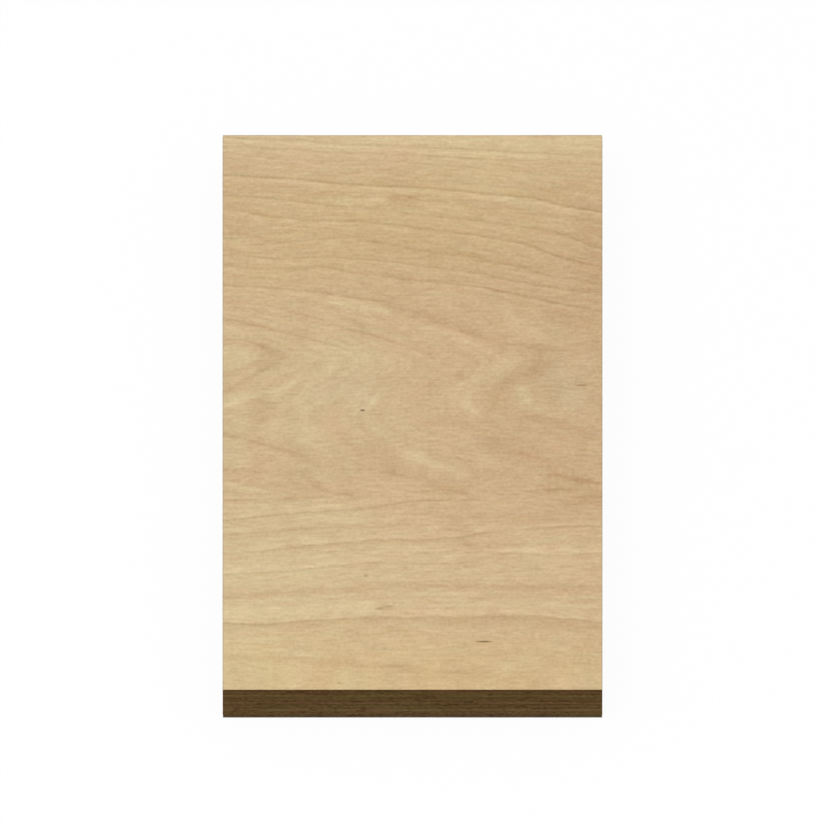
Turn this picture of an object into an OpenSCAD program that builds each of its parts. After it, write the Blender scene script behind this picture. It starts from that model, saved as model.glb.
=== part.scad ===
// Laser-cut birch plywood sheet, one solid.
// It lies flat on its back veneer, centred on the origin, with +Z through its thickness.
// X runs along the grain of the two outer veneers, and Y across it.
// The cut edges show the lay-up: neighbouring veneers cross at right angles, the beam burns end grain
// back a little further than long grain, and it leaves a fine groove along each glue line.

/* [Sheet] */
// Width of the sheet, along the face grain
sheet_w = 105; // [50:1:300]
// Length of the sheet, across the face grain
sheet_l = 200; // [50:1:600]
// Finished thickness, after sanding
sheet_t = 12; // [9:0.5:18]

/* [Veneers] */
// Number of veneers, odd so that the grain of both faces runs the same way
veneer_count = 9; // [5:2:13]
// Thickness of the face veneer, the thinnest because it is sanded most
face_veneer_t = 0.6; // [0.5:0.05:1.4]
// Thickness of the back veneer, which is sanded less
back_veneer_t = 0.9; // [0.5:0.05:1.4]

/* [Laser-cut edge] */
// How far end grain is burnt back behind long grain
end_grain_setback = 0.08; // [0.04:0.01:0.2]
// Height of the groove along each glue line
glue_line_h = 0.15; // [0.1:0.01:0.25]
// Depth of that groove behind the end grain
glue_line_d = 0.15; // [0.05:0.01:0.3]

/* [Hidden] */

inner_veneer_t = (sheet_t - face_veneer_t - back_veneer_t) / (veneer_count - 2);
groove_setback = end_grain_setback + glue_line_d;
last_veneer = veneer_count - 1;

// How far a cut runs past the outside of the sheet
cut_margin = 1;
// Setback of a side that a cut leaves alone
no_cut = -2 * cut_margin;

birch = [0.81, 0.70, 0.54];

// Height of the back of veneer i. Veneer 0 is the back one, and the last one is the face.
function veneer_z(i) =
    i == 0 ? 0
    : i == veneer_count ? sheet_t
    : back_veneer_t + (i - 1) * inner_veneer_t;

// The outer veneers and every second one between them have their grain along X.
function grain_along_x(i) = i % 2 == 0;

// The sheet's outline, set back by end_x at its left and right sides and by end_y at its front and
// back edges, between the heights z0 and z1. A negative setback reaches past the outline.
module slab(end_x, end_y, z0, z1) {
    translate([end_x - sheet_w / 2, end_y - sheet_l / 2, z0])
        cube([sheet_w - 2 * end_x, sheet_l - 2 * end_y, z1 - z0]);
}

// What the beam takes off the sides between the heights z0 and z1.
module burnt_off(end_x, end_y, z0, z1) {
    difference() {
        slab(-cut_margin, -cut_margin, z0, z1);
        slab(end_x, end_y, z0 - cut_margin, z1 + cut_margin);
    }
}

// End grain burnt back on the two sides where the grain of veneer i runs out.
module end_grain_cut(i) {
    end_x = grain_along_x(i) ? end_grain_setback : no_cut;
    end_y = grain_along_x(i) ? no_cut : end_grain_setback;
    burnt_off(end_x, end_y, veneer_z(i), veneer_z(i + 1));
}

// The groove all round the sheet along the glue line at the back of veneer i.
module glue_line_groove(i) {
    burnt_off(groove_setback, groove_setback,
              veneer_z(i) - glue_line_h / 2, veneer_z(i) + glue_line_h / 2);
}

module plywood_sheet() {
    color(birch)
    difference() {
        slab(0, 0, 0, sheet_t);
        for (i = [0 : last_veneer]) end_grain_cut(i);
        for (i = [1 : last_veneer]) glue_line_groove(i);
    }
}

plywood_sheet();
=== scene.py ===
# %% [markdown]
# A laser-cut sheet of birch plywood
#
# The real thing is a small blank of birch plywood: nine crossed veneers glued into one sheet, sanded on
# both faces and cut out with a laser, which chars the edges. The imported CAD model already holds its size
# and the section of its edges, so we load that first and measure it. Everything below is worked out in
# millimetres from that box and turned into metres only when a mesh is made, because wood is easier to
# think of in millimetres.

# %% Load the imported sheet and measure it
import math

import bpy
import numpy as np
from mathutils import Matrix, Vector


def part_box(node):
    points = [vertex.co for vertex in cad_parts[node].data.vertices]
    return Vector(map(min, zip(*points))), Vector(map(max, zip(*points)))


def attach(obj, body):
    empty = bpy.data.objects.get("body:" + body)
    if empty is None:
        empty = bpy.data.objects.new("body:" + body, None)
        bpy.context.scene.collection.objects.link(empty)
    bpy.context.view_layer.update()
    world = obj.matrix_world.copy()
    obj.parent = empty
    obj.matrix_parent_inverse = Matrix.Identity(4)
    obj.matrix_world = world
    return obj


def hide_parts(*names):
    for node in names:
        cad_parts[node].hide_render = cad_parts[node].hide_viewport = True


MM = 0.001

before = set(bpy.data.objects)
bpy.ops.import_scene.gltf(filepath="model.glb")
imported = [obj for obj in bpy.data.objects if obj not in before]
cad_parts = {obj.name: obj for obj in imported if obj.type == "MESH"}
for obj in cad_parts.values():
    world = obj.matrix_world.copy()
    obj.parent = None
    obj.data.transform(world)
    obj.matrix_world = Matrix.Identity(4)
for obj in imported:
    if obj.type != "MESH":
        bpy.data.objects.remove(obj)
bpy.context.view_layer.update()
low, high = (np.array(corner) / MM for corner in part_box("plywood_sheet"))
middle = (low + high) / 2
width, length, thickness = high - low
print(f"sheet: {width:.1f} x {length:.1f} x {thickness:.1f} mm")

# %% [markdown]
# Helpers for finishes
#
# Colours are easiest to write as the sRGB hex values that a colour picker shows, but a shader works in
# linear light, so one function converts them. A node tree is easiest to read when each node takes one
# line, so one function adds a node with its settings and plugs in its inputs. Two more start a tree and
# read what every finish of the sheet needs: where a point is, in millimetres, and what the mesh says
# there.

# %% Colour and node helpers


def linear(hex_colour):
    """sRGB hex to linear RGBA: channel c becomes ((c + 0.055) / 1.055) ** 2.4, or c / 12.92 when dark."""
    srgb = np.array([int(hex_colour[i:i + 2], 16) for i in (1, 3, 5)]) / 255
    light = np.where(srgb > 0.04045, ((srgb + 0.055) / 1.055) ** 2.4, srgb / 12.92)
    return (*light.tolist(), 1.0)


def add(tree, kind, inputs=(), **settings):
    """Adds a node. inputs: a list by place, or a dict by name or place; a node means its first output."""
    node = tree.nodes.new("ShaderNode" + kind)
    for name, value in settings.items():
        setattr(node, name, value)
    for key, value in inputs.items() if isinstance(inputs, dict) else enumerate(inputs):
        if isinstance(value, bpy.types.Node):
            value = value.outputs[0]
        if isinstance(value, bpy.types.NodeSocket):
            tree.links.new(value, node.inputs[key])
        else:
            node.inputs[key].default_value = value
    return node


def empty_tree(holder):
    """Node tree of a material or a world, switched on and emptied."""
    holder.use_nodes = True
    holder.node_tree.nodes.clear()
    return holder.node_tree


def place_and_readings(tree, names):
    """Place on the piece in millimetres, and the value of each named attribute there."""
    position = add(tree, "TexCoord").outputs["Object"]
    in_mm = add(tree, "Mapping", {"Vector": position, "Scale": (1 / MM, 1 / MM, 1 / MM)})
    return in_mm, {name: add(tree, "Attribute", attribute_name=name).outputs["Fac"] for name in names}


print("white in linear light:", linear("#FFFFFF"))

# %% [markdown]
# The growth rings of the show face
#
# A face veneer is peeled from a turning log, so the knife slices through the growth rings at a shallow
# and changing depth. The lines on the face are therefore contour lines, as on a map: each one joins the
# points where the knife left one year's wood and entered the next. Noise could draw such lines, but not
# where the real ones run. Instead each line gets a few listed points, with the number of its ring, and a
# smooth surface is laid through all of them. The lines are then the places where that surface passes a
# whole number, and they bend, crowd and turn back as real ones do.

# %% Ring lines of the show face
# Ring number, strength of the line, tone of the wood there in sRGB steps, and points in mm from the front
# left corner of the sheet. A line that fades out on its way has a row for each stretch.
FACE_RINGS = [
    (0, 0.3, 6, [(30, 202.5), (70, 201), (105, 199)]),
    (1, 0.7, 5, [(0, 199.5), (12, 198.4), (22, 197.9), (30, 196.8), (38, 196.4), (50, 195.8), (60, 195.2),
                 (70, 194.7), (80, 194), (90, 193.3), (105, 192)]),
    (2, 0.5, 3, [(0, 196), (6, 195.7), (14, 195), (22, 194.5), (28, 194), (38, 193.5), (50, 192.9),
                 (60, 192.2), (70, 191.5), (82, 190.9), (105, 189.2)]),
    (3, 0.25, 1, [(0, 193.2), (6, 192.5), (14, 191.7), (22, 190.8), (30, 190.3), (40, 190.6), (50, 190.2),
                  (60, 189.2), (70, 188.3), (80, 187), (90, 186), (105, 184.5)]),
    (4, 1.05, -1, [(0, 185.6), (10, 185), (20, 184.1), (26, 183.4), (32, 182.6), (38, 182), (46, 181.5),
                   (52, 181.1), (58, 180.5), (64, 180), (72, 179), (80, 178), (86, 177.3), (90, 176.2),
                   (95, 174.6), (105, 172)]),
    (5, 0.6, -2, [(0, 178.4), (8, 177.8), (16, 176.8), (23, 175.7), (30, 174.7)]),
    (5, 0.2, -2, [(38, 174), (46, 173.3)]),
    (5, 0.5, -2, [(54, 171.3), (60, 170.3), (68, 169.4), (76, 168.1)]),
    (5, 0.7, -2, [(84, 166.6), (90, 165.4), (95, 163.8), (100, 161.2), (105, 159)]),
    (6, 0.75, -3, [(0, 173.3), (6, 172.4), (11, 171), (18, 170.1), (24, 169.2), (32, 168.9), (40, 168.5),
                   (47, 167.7), (54, 166.4), (60, 165.5), (67, 164.4), (74, 163), (80, 161.7), (86, 159.8),
                   (90, 157.6), (96, 155.2), (105, 152.3)]),
    (7, 0.45, -4, [(0, 163), (8, 162.6), (13, 161.6), (19, 161.6), (26, 162.5), (34, 162.7), (41, 161.8),
                   (48, 160), (55, 158.4), (62, 157.3), (70, 155.9), (77, 153.8), (84, 151.7), (90, 149.5),
                   (105, 146.4)]),
    (8, 0.55, -4, [(0, 157), (6, 156.3), (13, 155.6), (21, 155.6), (28, 156.1), (36, 155.4), (43, 154.8),
                   (50, 153.6), (57, 152.5), (64, 151.2), (71, 150), (78, 148), (86, 146.4), (95, 144.5),
                   (105, 143)]),
    (9, 0.45, -4, [(0, 152.8), (8, 151.9), (16, 151.4), (23, 151.6), (28, 152.2)]),
    (9, 0.5, -4, [(34, 150.7), (41, 149.7), (49, 148.2), (57, 147), (66, 146.2)]),
    (9, 0.7, -4, [(76, 144), (85, 141.6), (92, 139.4), (105, 136.4)]),
    (10, 0.9, -3, [(0, 145.8), (11, 145.2), (23, 143.8), (30, 142.8), (36, 141.5), (42, 140.5)]),
    (10, 0.1, -3, [(47, 139.4), (52, 136.8), (58, 133.2), (66, 129.4), (74, 125.6), (84, 123.4)]),
    (10, 0.0, -3, [(88, 121), (85, 115.5), (78, 110.5), (74, 105), (76, 101), (82, 98), (90, 96.5),
                   (105, 93)]),
    (11, 0.3, -1, [(0, 139.7), (14, 138.4), (23.5, 135), (28, 133)]),
    (11, 0.4, -1, [(34, 130.2), (39, 128.5), (44, 126.7), (50, 124.2), (57, 120.8)]),
    (12, 0.45, 0, [(0, 133.8), (5, 132.7), (10, 131.1), (15, 129.5), (20, 127.7), (25, 126.1)]),
    (13, 0.2, 1, [(0, 126.4), (6, 125.5), (10, 124.1), (13.5, 122.3), (16.8, 120.9)]),
    (13, 0.15, 1, [(16.3, 119.3), (13.5, 117), (8.9, 113.6), (5, 110.8), (0, 107.4)]),
    (12, 0.25, -1, [(0, 92.5), (5, 91), (12, 88), (18, 86.2), (21, 84.5), (24, 82), (28, 80)]),
    (11, 0.55, -2, [(0, 68.3), (10, 68.5), (20, 69)]),
    (11, 0.1, -2, [(33, 70), (48, 70.8), (64, 72), (80, 71.5)]),
    (11, 0.2, -5, [(91, 72), (97, 72.4), (105, 71.5)]),
    (10, 0.95, 0, [(0, 61), (10, 62.4), (20, 63.6), (26, 64.2)]),
    (10, 0.7, 0, [(35, 64.9), (40, 65.4), (45, 66.4), (50, 67.5), (56, 68.2), (64, 68.6)]),
    (10, 0.1, 0, [(72, 68.8), (85, 67.5), (105, 66.5)]),
    (9, 0.35, 2, [(0, 55.7), (10, 56.9), (20, 58), (30, 58.6)]),
    (9, 0.1, 2, [(40, 59.2), (54, 60.2), (75, 60.5), (105, 61.5)]),
    (8, 0.75, 3, [(0, 49.4), (10, 49.9), (20, 51.4), (26, 52.2), (36, 53.2), (41, 53.9), (48, 54.1),
                  (54, 53.9), (60, 54.7), (66, 55.3)]),
    (8, 0.5, 4, [(74, 56.8), (80, 57.5)]),
    (8, 1.05, 2, [(90, 58.5), (98, 58.9), (105, 59.1)]),
    (7, 0.7, 4, [(0, 41.4), (10, 42.3), (20, 42.9), (26, 43.9), (30, 44.5), (36, 45.3), (42, 45.8),
                 (50, 45.6), (60, 45.5), (66, 45.8)]),
    (7, 0.3, 4, [(70, 46.8), (73, 47.9)]),
    (7, 0.65, 4, [(77, 49), (88, 48.7), (97, 48.7), (105, 49.3)]),
    (6, 0.05, 4, [(0, 34.1), (10, 34.6), (21, 35.1), (32, 36.4), (45, 38.2), (60, 38), (77, 37.1),
                  (90, 36.6), (105, 35.6)]),
    (5, 0.85, 2, [(0, 24.1), (10, 23.5), (15, 23.7), (20, 24.3), (26, 25.1), (35, 25.7), (43, 26.1),
                  (51, 26), (57, 26.6), (66, 26.3), (75, 26.4), (81, 26), (86, 26.4), (91, 25.9),
                  (97, 25.4), (105, 24.2)]),
    (4, 0.0, 3, [(0, 12.5), (20, 11), (34, 9.2), (46, 8.8), (56, 6.6), (70, 6.1), (105, 4)]),
]

ring_points = [point for *_, line in FACE_RINGS for point in line]
ring_values = np.array([row[:3] for row in FACE_RINGS for _ in row[3]], float)
print(f"show face: {len(FACE_RINGS)} stretches of ring line through {len(ring_points)} points")

# %% [markdown]
# A surface through scattered points
#
# There are many ways to lay a surface through points. This one sets a rounded cone on each point and
# solves for the heights that make their sum pass through all of them. It needs no grid, it stays smooth,
# and it is a few lines of numpy. Wood varies slowly along its fibres and quickly across them, so distances
# along the grain are shortened first.

# %% The contour map of the rings
GRAIN_STRETCH = 5.0
CONE_ROUNDING = 2.0
HEART_TIP = (16.0, 121.0)


def cones(x, y, spots):
    """Height of each spot's rounded cone: sqrt(along ** 2 + across ** 2 + rounding ** 2)."""
    along = (x[..., None] - spots[:, 0]) / GRAIN_STRETCH
    across = y[..., None] - spots[:, 1]
    return np.sqrt(along ** 2 + across ** 2 + CONE_ROUNDING ** 2)


def surface_through(points, values):
    """Function of x and y through the values: cones times the weights that solve it at the points."""
    spots = np.array(points, float)
    weights = np.linalg.solve(cones(*spots.T, spots), values)
    return lambda x, y: cones(x, y, spots) @ weights


face_map = surface_through(ring_points, ring_values)
tip_ring = face_map(*np.array(HEART_TIP))[0]
print(f"the map passes ring {tip_ring:.2f} at the tip of the heart")

# %% [markdown]
# The back veneer
#
# The back of the sheet is another slice of birch, with a plainer figure of long, low arches. Nothing asks
# for single lines there, so a short formula makes its contour map.

# %% A plain figure for the back
BACK_RING_WIDTH = 13.0
BACK_ARCH_RISE = 9.0
BACK_ARCH_COUNT = 1.1
BACK_ARCH_MIDDLE = 0.4
BACK_LINE_STRENGTH = 0.7


def back_map(x, y):
    """Ring = (distance from the front edge + arch) / ring width; the arch is highest near the middle."""
    lean = np.cos(math.pi * (x / width - BACK_ARCH_MIDDLE))
    arch = BACK_ARCH_RISE * lean * np.sin(2 * math.pi * BACK_ARCH_COUNT * y / length)
    ring = (y + arch) / BACK_RING_WIDTH
    return np.stack([ring, np.full_like(ring, BACK_LINE_STRENGTH), np.zeros_like(ring)], -1)


print(f"back face: about {length / BACK_RING_WIDTH:.0f} rings")

# %% [markdown]
# Soft bands
#
# Where the knife ran almost along a ring, its edge has no crisp line. It shows as soft bands of paler or
# darker wood, which turn round the heart of the figure and lie beside the lines elsewhere. Each band is a
# path with a half width, and it fades like a bell curve to both sides. Along the grain it fades more
# slowly than across it, as everything in wood does.

# %% Bands in the far part of the show face
# Tone in sRGB steps, half width in mm, and path in mm from the front left corner of the sheet.
FAR_BANDS = [
    (5, 0.8, [(34, 199), (42, 198.8)]),
    (6, 1.2, [(94, 199), (104, 198.8)]),
    (6, 2.0, [(45, 198.3), (72, 197.3), (100, 195.5)]),
    (7, 0.8, [(22, 197), (32, 196.2), (42, 195.8)]),
    (6, 1.0, [(60, 193.6), (80, 192.7), (88, 192)]),
    (6, 0.6, [(6, 198), (10, 197.8)]),
    (-4, 0.7, [(38, 185.6), (46, 184.8), (54, 184)]),
    (4, 1.2, [(74, 185), (88, 185.3)]),
    (-5, 0.7, [(0, 182.3), (6, 181.5), (12, 180.9)]),
    (-5, 1.3, [(86, 180.5), (91, 180), (97, 182)]),
    (-5, 1.2, [(14, 180.8), (22, 179.6), (30, 178.6), (40, 177.9)]),
    (-4, 1.0, [(60, 175.8), (72, 174), (84, 172), (90, 170.6)]),
    (-12, 0.9, [(47, 177.6), (54, 177.6)]),
    (-4, 1.6, [(45, 177.3), (57, 176.8)]),
    (12, 1.3, [(34, 176.4), (44, 176.6)]),
    (9, 1.0, [(57, 174.2), (65, 173.8)]),
    (5, 1.2, [(92, 172.6), (98, 172.2)]),
    (4, 1.0, [(90, 168.4), (97, 167.4)]),
    (-5, 1.2, [(84, 166), (92, 164.3), (100, 161)]),
    (-6, 1.5, [(2, 165.8), (7, 165)]),
    (-5, 0.9, [(11, 161.2), (18, 161.1)]),
    (-5, 1.2, [(83, 160.8), (90, 157.5), (97, 154.5), (105, 152)]),
    (-5, 2.0, [(44, 160.6), (55, 158.2), (64, 157.2)]),
    (-6, 1.5, [(69, 156), (76, 154), (82, 152.3), (88, 151)]),
    (2, 1.2, [(10, 154.4), (22, 154.6), (30, 154.6)]),
    (-7, 0.7, [(27, 152.8), (31, 152.5)]),
    (-4, 1.5, [(72, 150), (80, 147.5), (88, 146)]),
    (-5, 1.2, [(45, 149.3), (54, 147.6), (60, 147)]),
    (-6, 6.0, [(104, 174), (104, 146)]),
    (3, 5.0, [(68, 187), (75, 178)]),
    (-3, 6.0, [(0, 190), (4, 176)]),
]
print(f"{len(FAR_BANDS)} bands in the far part")

# %% Bands round the heart
HEART_BANDS = [
    (-7, 1.0, [(76, 143.8), (80, 142.7), (84.6, 141)]),
    (-6, 1.0, [(97, 143.8), (104, 143.4)]),
    (-4, 3.0, [(90, 140), (94, 137.5), (99, 134)]),
    (-4, 1.0, [(93.5, 136.3), (94.7, 133), (98, 130.2)]),
    (4, 2.5, [(59, 142), (66, 141)]),
    (-6, 2.6, [(44, 140), (48, 138.8), (52, 136.8), (57, 134)]),
    (-7, 1.6, [(60.5, 132), (66, 129.4), (71, 126.7), (78, 124.2)]),
    (9, 1.4, [(31, 139.8), (37, 138.5), (44, 137)]),
    (5, 1.3, [(44, 136.8), (50, 133), (57, 130.4)]),
    (8, 1.3, [(56, 130.4), (63, 128), (69, 125), (73, 122.6)]),
    (4, 0.8, [(80.5, 138.2), (87.5, 137.2)]),
    (6, 0.9, [(79, 136), (80, 133.5), (81.5, 131.5)]),
    (5, 2.0, [(80.5, 131), (84, 129), (87, 127)]),
    (5, 1.4, [(99, 119), (103.5, 117.5)]),
    (4, 1.0, [(88, 127.4), (94, 126.4), (100, 126)]),
    (-9, 1.2, [(1, 133), (6, 132.2), (11, 130.9)]),
    (-7, 0.9, [(12, 130.5), (16, 129)]),
    (-8, 0.8, [(19.5, 127.7), (23.5, 126.3), (28, 125.1)]),
    (4, 1.2, [(0, 136.3), (3, 135.6)]),
    (4, 0.6, [(8, 133.4), (13, 131.5), (18, 129.6)]),
    (10, 0.8, [(0, 131.5), (3.5, 130.4)]),
    (4, 1.2, [(27, 125), (36, 122.4)]),
    (-4, 0.7, [(23.5, 134.8), (27, 133.4)]),
    (-5, 0.8, [(33.5, 130), (37, 128.8), (40.5, 127.6)]),
    (-8, 0.8, [(42, 127.4), (46, 125.9)]),
    (-5, 1.0, [(48, 124.8), (53, 123.2), (58, 120.5)]),
    (-4, 1.1, [(55, 118.7), (56.3, 117)]),
    (5, 0.8, [(58.8, 120.8), (59.3, 118.5)]),
    (-5, 1.0, [(0, 126.2), (6, 125.4), (10, 124.2)]),
    (-3, 1.2, [(0, 124.6), (6, 123.9)]),
    (-7, 0.8, [(10, 124.1), (13.5, 122.3), (16.8, 120.9), (14.6, 118), (9, 113.8), (2, 108.7),
               (0, 107.5)]),
    (-5, 1.8, [(11.5, 122.3), (13.5, 120.7), (10.5, 118)]),
    (-6, 1.0, [(9, 117.8), (5.5, 115.6), (0, 113)]),
    (-4, 1.6, [(4, 112.2), (0, 110.4)]),
    (4, 1.2, [(0.5, 122.4), (5, 121.8), (9, 120.6)]),
    (6, 0.9, [(11, 119.8), (7, 118.2)]),
    (-3, 3.0, [(1, 138.5), (12, 137)]),
    (7, 0.9, [(4, 104.8), (9, 106.2), (14, 108), (19, 110)]),
    (5, 1.2, [(20, 111.2), (24, 114.4), (30, 116)]),
    (4, 1.0, [(9, 112.6), (14, 114.6), (20, 116.2)]),
    (4, 4.5, [(25, 121), (34, 120), (46, 119)]),
    (4, 5.0, [(30, 108), (38, 106)]),
    (5, 1.8, [(21, 105.5), (22.5, 101)]),
    (7, 1.8, [(0, 102.8), (4, 103.4)]),
    (7, 1.2, [(4, 99.2), (5.5, 97.6)]),
    (-8, 2.8, [(11, 102.8), (11.2, 99)]),
    (4, 1.8, [(15.5, 105), (18.5, 103.5)]),
    (7, 2.3, [(81.5, 119.6), (78.5, 117.2), (75.5, 114.8), (72, 112)]),
    (7, 2.7, [(67, 109.5), (65.5, 106.5), (66.5, 103.5), (69, 100.5)]),
    (-4, 1.2, [(85, 123.5), (89, 123.4), (95, 122)]),
    (-8, 2.6, [(86.5, 121.3), (87, 118)]),
    (-8, 2.2, [(86, 115), (80.5, 112.3), (76.5, 109), (75, 105.5), (74.5, 102)]),
    (3, 0.9, [(80.8, 109.5), (83, 108.3)]),
    (8, 1.5, [(83, 107.8), (84.2, 105)]),
    (8, 1.2, [(84.5, 104), (87.5, 101.2)]),
    (-4, 0.8, [(85.6, 106.2), (86, 103.8)]),
    (-4, 0.9, [(89, 109), (91.5, 108)]),
    (7, 3.2, [(97.5, 107), (97, 102.5)]),
    (-4, 0.6, [(94, 107.2), (97, 109), (103, 111)]),
    (4, 2.5, [(96, 114), (103, 112)]),
    (-6, 0.9, [(64.5, 113.2), (66.5, 112.2)]),
    (6, 0.8, [(36, 99.4), (39, 102), (42, 104.6)]),
]
print(f"{len(HEART_BANDS)} bands round the heart")

# %% Bands before the heart
MIDDLE_BANDS = [
    (-7, 1.4, [(83, 98.6), (89, 97), (93, 95.2)]),
    (-6, 1.6, [(98, 94), (101, 90.5)]),
    (-3, 2.0, [(61, 97), (68, 95.5)]),
    (-5, 3.2, [(72.5, 93), (75, 89.5)]),
    (-4, 2.6, [(76, 88.5), (83, 85)]),
    (-4, 2.0, [(83.5, 85.5), (86, 82.5)]),
    (5, 1.6, [(22, 94), (25, 92.5)]),
    (5, 4.0, [(18, 96), (23, 93)]),
    (-2, 6.0, [(82, 92), (88, 78)]),
    (6, 0.9, [(21.5, 90), (23.5, 89.4)]),
    (-9, 0.8, [(0, 91.8), (5.5, 91)]),
    (-11, 0.8, [(8, 89.5), (12, 88), (18.5, 85.8), (23.5, 82.5)]),
    (3, 2.2, [(0, 85), (4, 83)]),
    (-2, 5.0, [(2, 79), (10, 77)]),
    (-2, 5.0, [(14, 124), (20, 116)]),
    (2, 6.0, [(46, 94), (70, 92)]),
    (-5, 2.0, [(11, 84), (17, 81.5)]),
    (-5, 0.9, [(0, 79), (8, 78.6)]),
    (6, 0.8, [(46, 89.4), (49.5, 88.6)]),
    (8, 1.9, [(50, 86.2), (54, 84.2)]),
    (8, 1.5, [(54, 84), (59, 81.4)]),
    (6, 1.1, [(59, 81.4), (61.5, 79.8)]),
    (4, 1.0, [(61, 79), (67.5, 77.4)]),
    (-5, 2.8, [(39, 87.5), (47, 85)]),
    (-5, 2.4, [(41, 80.5), (47, 79)]),
    (-5, 1.2, [(45, 78.3), (52, 77)]),
    (-4, 0.7, [(30.5, 92.4), (39, 90.3)]),
    (4, 0.6, [(31, 91.2), (38, 89.6)]),
    (-5, 0.9, [(63, 87), (68, 85)]),
    (4, 2.0, [(69, 84), (74, 82)]),
]
print(f"{len(MIDDLE_BANDS)} bands before the heart")

# %% Bands in the near part of the show face
NEAR_BANDS = [
    (-16, 0.75, [(91.5, 77.7), (97, 76.2), (103.5, 74.5)]),
    (-8, 0.6, [(95, 76.6), (103.5, 74.4)]),
    (-8, 0.8, [(23, 77), (25.5, 73.5), (29, 71.5), (36, 70.6)]),
    (8, 1.0, [(2, 74.2), (6, 72.8), (11, 71.2)]),
    (-5, 0.7, [(8, 75.5), (12, 73.6), (20, 72.6), (27, 71.2)]),
    (4, 2.5, [(44, 73.5), (50, 72.5)]),
    (-9, 1.8, [(59, 73), (65, 71.8)]),
    (-10, 0.8, [(90, 71.9), (96.5, 72.2)]),
    (-7, 0.7, [(101, 72.5), (103.5, 72)]),
    (-6, 1.8, [(99, 69), (104, 69)]),
    (-6, 0.9, [(66.8, 71.5), (68.2, 68.8)]),
    (-7, 1.0, [(95, 67), (104, 67.8)]),
    (5, 0.7, [(73, 66.2), (81, 66.5)]),
    (5, 0.8, [(10, 66.2), (20, 66.6), (33, 66.8)]),
    (-4, 2.5, [(62, 62.5), (72, 63)]),
    (-4, 3.0, [(80, 62), (92, 62)]),
    (-3, 4.0, [(99, 64), (104, 66)]),
    (4, 3.0, [(0, 65), (8, 65)]),
    (4, 3.5, [(29, 64), (36, 63)]),
    (-3, 4.0, [(70, 50), (76, 52)]),
    (-3, 1.2, [(0, 56), (10, 57), (20, 58), (36, 58.8), (50, 59.8)]),
    (5, 1.2, [(30, 61.8), (35, 61)]),
    (4, 1.5, [(19, 61.2), (26, 61.6)]),
    (4, 1.3, [(0, 58), (7, 58.2)]),
    (5, 1.0, [(69.5, 59.5), (71, 58)]),
    (5, 1.2, [(43, 51), (54, 50.4)]),
    (4, 1.2, [(61, 49.5), (62, 47)]),
    (-6, 0.7, [(61, 57.6), (65, 57.4)]),
    (-8, 0.7, [(67, 56.9), (73.5, 56.6)]),
    (-4, 2.5, [(66, 57.5), (69, 53)]),
    (8, 1.0, [(22.5, 54.3), (26, 54)]),
    (-6, 1.0, [(68, 52), (75, 50.8)]),
    (-5, 0.8, [(80, 52.6), (84, 52.3)]),
    (7, 1.0, [(84.5, 50.4), (89, 49.2)]),
    (3, 6.0, [(2, 43), (26, 44)]),
    (-4, 0.9, [(18, 50.6), (30, 52.2), (42, 53.4), (66, 54.8)]),
    (-3, 1.8, [(80, 37.6), (104, 36.8)]),
    (-4, 0.9, [(37, 65), (45, 66.2), (56, 68.4)]),
    (-7, 1.4, [(0, 33.7), (10, 34.5), (24, 35.2), (34, 36.4), (45, 37.3), (60, 37.4), (80, 37),
               (92, 36.6), (103, 35.6)]),
    (6, 0.7, [(54, 34.9), (68, 34.8)]),
    (5, 0.9, [(16, 33.2), (27, 33)]),
    (-5, 0.8, [(40, 33), (47, 32.9)]),
    (-5, 0.9, [(69, 33.2), (76, 32.6)]),
    (-4, 0.8, [(78, 33), (90, 32.8), (103, 31.8)]),
    (-4, 0.7, [(18, 31), (30, 30.6)]),
    (8, 2.5, [(0, 28), (14, 28.4), (28, 29.4), (39, 29.8)]),
    (6, 1.0, [(0, 26.8), (4, 26.4)]),
    (4, 1.5, [(42, 31), (56, 31.4), (72, 30.6), (86, 31.4), (104, 29.8)]),
    (-5, 1.0, [(0, 23.2), (16, 23)]),
    (-4, 1.2, [(22, 23.6), (45, 24.8), (80, 24.9), (104, 23)]),
    (4, 8.0, [(0, 16), (12, 10)]),
    (-3, 2.0, [(84, 22.8), (92, 22.6), (104, 21.8)]),
    (-2, 6.0, [(60, 64), (95, 64)]),
    (-7, 1.2, [(0, 12.2), (8, 11.8), (20, 11), (30, 10), (40, 8.8), (48, 8.6), (54, 6.8), (64, 6.4),
               (73, 5.6)]),
    (-7, 0.7, [(50, 9.5), (57, 9.3)]),
    (-4, 0.8, [(52, 4.2), (58, 3.9)]),
    (5, 1.8, [(44, 2.6), (52, 2.4)]),
    (-4, 2.2, [(67, 2), (76, 2.8)]),
    (5, 1.8, [(95, 2.8), (104, 2.2)]),
]
print(f"{len(NEAR_BANDS)} bands in the near part")

# %% Tone of the bands
BAND_STRETCH = 1.5
HEART_MIDDLE = (3.0, 120.0)


def band_tone(x, y, bands):
    """Sum of steps * exp(-(distance / half width) ** 2), with the distance to the nearest stretch."""
    tone = np.zeros_like(x)
    squeeze = np.array([BAND_STRETCH, 1.0])
    spots = np.stack([x, y], -1)[..., None, :] / squeeze
    for steps, half_wide, path in bands:
        corners = np.array(path, float) / squeeze
        starts = corners[:-1]
        stretches = corners[1:] - starts
        share = ((spots - starts) * stretches).sum(-1) / (stretches ** 2).sum(-1)
        nearest = starts + np.clip(share, 0, 1)[..., None] * stretches
        distance = np.linalg.norm(spots - nearest, axis=-1).min(-1)
        tone += steps * np.exp(-(distance / half_wide) ** 2)
    return tone


show_bands = FAR_BANDS + HEART_BANDS + MIDDLE_BANDS + NEAR_BANDS
heart_tone = band_tone(*np.array(HEART_MIDDLE)[:, None], show_bands)
print(f"inside the heart the bands add {heart_tone[0]:.1f} steps")

# %% [markdown]
# Tints
#
# Birch isn't one hue. Fields of the veneer are a little pinker, greyer or more golden than the rest,
# without a border of their own. Each field is an oval that fades out from its middle.

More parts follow.
